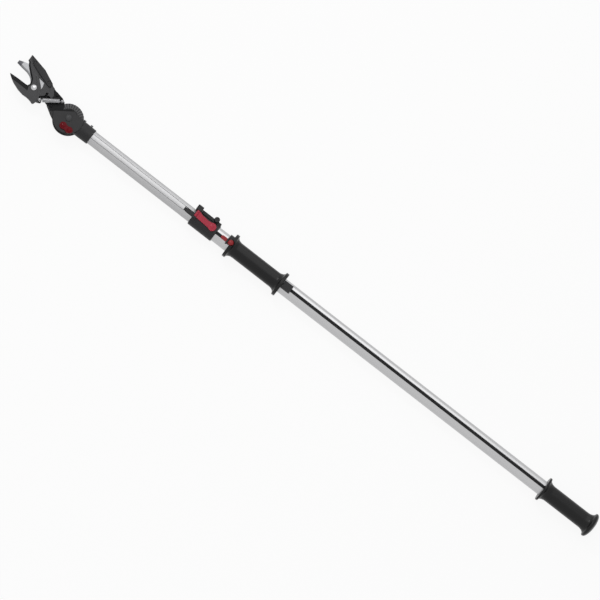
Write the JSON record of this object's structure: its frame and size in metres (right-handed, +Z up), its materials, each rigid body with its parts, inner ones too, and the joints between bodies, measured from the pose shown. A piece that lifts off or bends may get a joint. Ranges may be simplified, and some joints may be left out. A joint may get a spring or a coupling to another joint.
{
  "type": "telescopic pole pruner",
  "caption": "Hand-worked bypass pruner on a telescopic pole: tilting head with hook, geared blade and return spring, sliding pull grip on a strap, quick clamp and end grip",
  "frame": {"origin": "Under the middle of the tool as it lies on the flats of its grip flanges: centre of the bounding box in X and Y, lowest plane in Z.", "axes": "+X runs along the pole from the cutting head to the end grip. +Z is up, away from the flats, through the strap groove. +Y is the side of the pole that the guard of the head points to."},
  "size_m": [1.7408, 0.105, 0.0597],
  "materials": {
    "aluminium": "drawn and clear anodised",
    "black_plastic": "moulded, matt",
    "red_plastic": "moulded, satin",
    "black_metal": "black coated steel, satin",
    "black_casting": "die cast, black coated, satin",
    "blade_steel": "ground, bright",
    "zinc_steel": "zinc plated",
    "strap_black": "woven, matt"
  },
  "bodies": {
    "outer_pole": {"outer_tube": "aluminium", "clamp_body": "black_plastic", "clamp_knob": "black_plastic", "clamp_bolt": "zinc_steel", "clamp_lever_pin": "zinc_steel", "end_grip": "black_plastic", "end_plug": "black_plastic", "end_screw": "zinc_steel"},
    "clamp_lever": {"clamp_lever": "red_plastic"},
    "inner_pole": {"inner_tube": "aluminium", "groove_cover": "aluminium", "slide_plug": "black_plastic", "socket": "black_plastic", "socket_screw_front": "black_metal", "socket_screw_rear": "black_metal"},
    "pull_grip": {"pull_grip": "black_plastic", "grip_collar": "black_plastic", "guide_block": "black_plastic", "strap_lock_pin": "zinc_steel"},
    "strap_lock": {"strap_lock": "red_plastic"},
    "strap": {"strap": "strap_black"},
    "tilt_pulley": {"tilt_pulley": "black_plastic"},
    "head": {"neck_rear": "black_casting", "neck_front": "black_casting", "frame_screw_guard": "black_metal", "frame_screw_hook": "black_metal", "hook_jaw": "black_metal", "guard_bar": "black_plastic", "guard_bar_screw_outer": "black_metal", "guard_bar_screw_inner": "black_metal", "jaw_bolt": "zinc_steel", "jaw_nut": "zinc_steel", "tilt_bolt": "black_metal", "tilt_nut": "zinc_steel", "spring_post": "zinc_steel", "drum_axle": "zinc_steel", "return_spring": "zinc_steel"},
    "tilt_lock": {"tilt_lock_button": "red_plastic"},
    "blade": {"blade": "blade_steel", "spring_pin": "zinc_steel"},
    "drum": {"strap_drum": "black_plastic", "strap_winding": "strap_black", "drive_pinion": "zinc_steel"}
  },
  "joints": [
    {"name": "telescope", "type": "slide", "parent": "outer_pole", "child": "inner_pole", "axis": [-1, 0, 0], "range_m": [0, 0.85]},
    {"name": "clamp_lever_hinge", "type": "hinge", "parent": "outer_pole", "child": "clamp_lever", "pos_m": [-0.31776, -0.01545, 0.054], "axis": [0, -1, 0], "range_deg": [0, 110]},
    {"name": "grip_slide", "type": "slide", "parent": "outer_pole", "child": "pull_grip", "axis": [1, 0, 0], "range_m": [0, 0.0453], "stiffness_N_per_m": 400, "springref_m": -0.01},
    {"name": "strap_lock_hinge", "type": "hinge", "parent": "pull_grip", "child": "strap_lock", "pos_m": [-0.22216, -0.01545, 0.0492], "axis": [0, 1, 0], "range_deg": [0, 6], "stiffness_Nm_per_rad": 0.3, "springref_deg": -8.59},
    {"name": "strap_run", "type": "slide", "parent": "inner_pole", "child": "strap", "axis": [1, 0, 0], "range_m": [0, 0.0453]},
    {"name": "tilt_pulley_turn", "type": "hinge", "parent": "inner_pole", "child": "tilt_pulley", "pos_m": [-0.69346, -0.01545, 0.0285], "axis": [0, 0, 1], "range_deg": [-208, 0]},
    {"name": "head_tilt", "type": "hinge", "parent": "inner_pole", "child": "head", "pos_m": [-0.69346, -0.01545, 0.0285], "axis": [0, 0, 1], "range_deg": [-90, 90]},
    {"name": "tilt_lock_press", "type": "slide", "parent": "head", "child": "tilt_lock", "axis": [0, 0, -1], "range_m": [0, 0.0028], "stiffness_N_per_m": 800, "springref_m": -0.004},
    {"name": "blade_swing", "type": "hinge", "parent": "head", "child": "blade", "pos_m": [-0.80276, -0.00745, 0.0285], "axis": [0, 0, 1], "range_deg": [0, 40], "deforming": ["return_spring"]},
    {"name": "drum_turn", "type": "hinge", "parent": "head", "child": "drum", "pos_m": [-0.77028, 0.0113, 0.0285], "axis": [0, 0, 1], "range_deg": [-260, 0]}
  ],
  "couplings": [
    {"joint": "strap_run", "follows": "grip_slide", "ratio": 1},
    {"joint": "tilt_pulley_turn", "follows": "grip_slide", "rad_per_m": -80},
    {"joint": "blade_swing", "follows": "grip_slide", "rad_per_m": 15.385},
    {"joint": "drum_turn", "follows": "grip_slide", "rad_per_m": -100}
  ]
}
